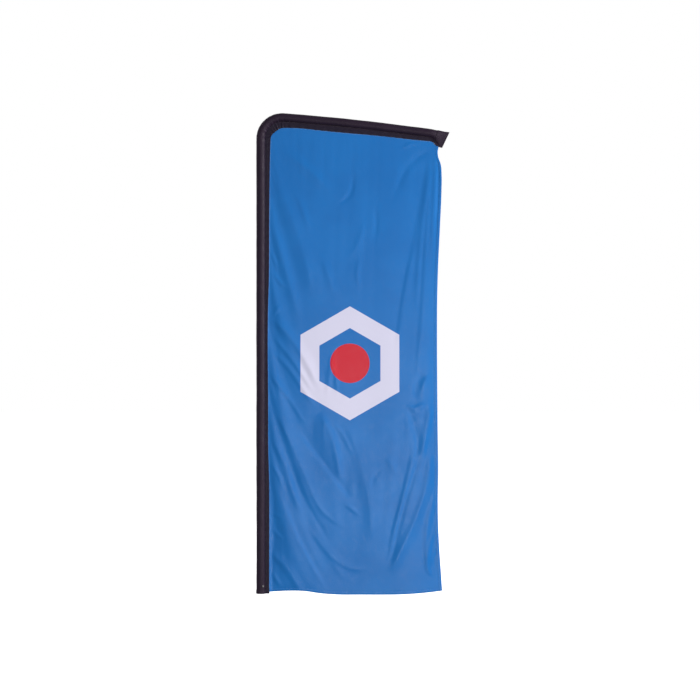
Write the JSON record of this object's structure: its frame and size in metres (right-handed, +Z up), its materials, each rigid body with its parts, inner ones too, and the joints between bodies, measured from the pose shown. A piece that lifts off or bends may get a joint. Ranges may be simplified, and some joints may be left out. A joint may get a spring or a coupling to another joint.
{
  "type": "rectangular feather flag with pole",
  "caption": "Rectangular feather flag: banner cloth hung from a black fabric sleeve over an upside-down L-shaped plug-in pole, which turns on a socket in its foot.",
  "frame": {"origin": "centre of the pole's foot, at the mouth of the spindle socket", "axes": "+Z up the pole; +X along the arm, to the side the cloth is on; the banner's front faces -Y"},
  "size_m": [0.8021, 0.0396, 2.004],
  "materials": {
    "anodised_aluminium": "satin anodised tube",
    "steel": "bright steel",
    "black_nylon": "moulded nylon",
    "glass_fibre": "pultruded glass-fibre rod",
    "rubber": "soft moulded rubber",
    "sleeve_fabric": "black woven polyester, slight sheen",
    "patch_fabric": "black reinforcing tape",
    "banner_cloth": "blue knitted polyester, satin"
  },
  "bodies": {
    "spindle_insert": {"spindle_socket": "black_nylon", "thrust_washer": "steel", "retaining_ring": "steel"},
    "flag": {"foot_bush": "black_nylon", "upper_bush": "black_nylon", "lower_pole": "anodised_aluminium", "joint_collar": "black_nylon", "upper_pole": "anodised_aluminium", "elbow": "anodised_aluminium", "elbow_spigot": "anodised_aluminium", "spigot_rivet_1": "steel", "spigot_rivet_2": "steel", "lower_lock_spring": "steel", "elbow_lock_spring": "steel", "arm_ferrule": "black_nylon", "arm_rod": "glass_fibre", "arm_tip_cap": "rubber", "pole_sleeve": "sleeve_fabric", "tip_patch": "patch_fabric", "pole_snap_stud": "steel", "sleeve_snap_cap": "steel", "banner_cloth": "banner_cloth"},
    "lower_lock": {"lower_lock_button": "steel"},
    "elbow_lock": {"elbow_lock_button": "steel"}
  },
  "joints": [
    {"name": "flag_swivel", "type": "hinge", "parent": "spindle_insert", "child": "flag", "pos_m": [0, 0, 0], "axis": [0, 0, 1], "continuous": true},
    {"name": "lower_lock_press", "type": "slide", "parent": "flag", "child": "lower_lock", "axis": [0, -1, 0], "range_m": [0, 0.0035], "stiffness_N_per_m": 1500, "springref_m": -0.002, "deforming": ["lower_lock_spring"]},
    {"name": "elbow_lock_press", "type": "slide", "parent": "flag", "child": "elbow_lock", "axis": [0, -1, 0], "range_m": [0, 0.0036], "stiffness_N_per_m": 1500, "springref_m": -0.002, "deforming": ["elbow_lock_spring"]}
  ]
}
